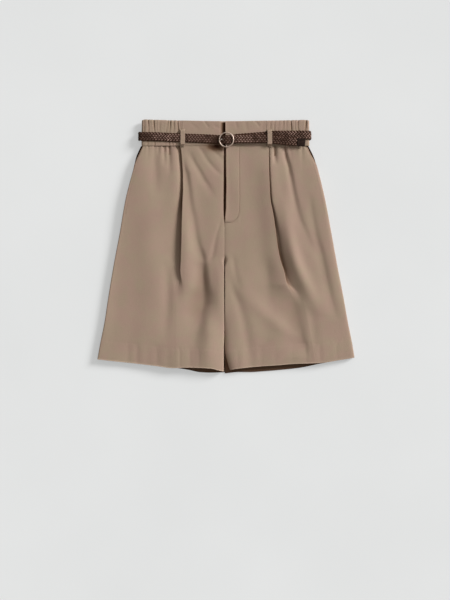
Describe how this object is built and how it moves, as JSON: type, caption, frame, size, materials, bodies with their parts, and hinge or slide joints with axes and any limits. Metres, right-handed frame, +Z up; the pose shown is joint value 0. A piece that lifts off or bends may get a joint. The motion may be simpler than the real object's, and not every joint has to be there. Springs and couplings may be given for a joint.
{
  "type": "belted shorts",
  "caption": "Pleated knee-length shorts with a half-elastic waist and a braided belt with a round buckle, laid flat on their back.",
  "frame": {"origin": "on the surface it lies on, below the middle of the garment's outline box", "axes": "+X to the wearer's left (right in the picture), +Y from the hems to the waist, +Z up away from the surface"},
  "size_m": [0.5155, 0.5078, 0.0221],
  "materials": {
    "twill": "matte taupe cotton twill, plain, no pattern",
    "braid": "dark brown waxed leather strands, slightly glossy, flat braid",
    "smooth_leather": "smooth near-black brown leather, satin",
    "ring_metal": "pale antique gold, worn satin"
  },
  "bodies": {
    "root": {"front_left": "twill", "front_right": "twill", "back_left": "twill", "back_right": "twill", "waistband_front_left": "twill", "waistband_front_right": "twill", "waistband_elastic": "twill", "pocket_facing_left": "twill", "pocket_facing_right": "twill", "fly_underlap": "twill", "loop_front_right": "twill", "loop_front_left": "twill", "loop_back_right": "twill", "loop_back_centre": "twill", "loop_back_left": "twill", "belt_strap": "braid", "belt_tip": "smooth_leather", "buckle_tab": "smooth_leather", "buckle_ring": "ring_metal", "buckle_prong": "ring_metal"}
  },
  "joints": []
}
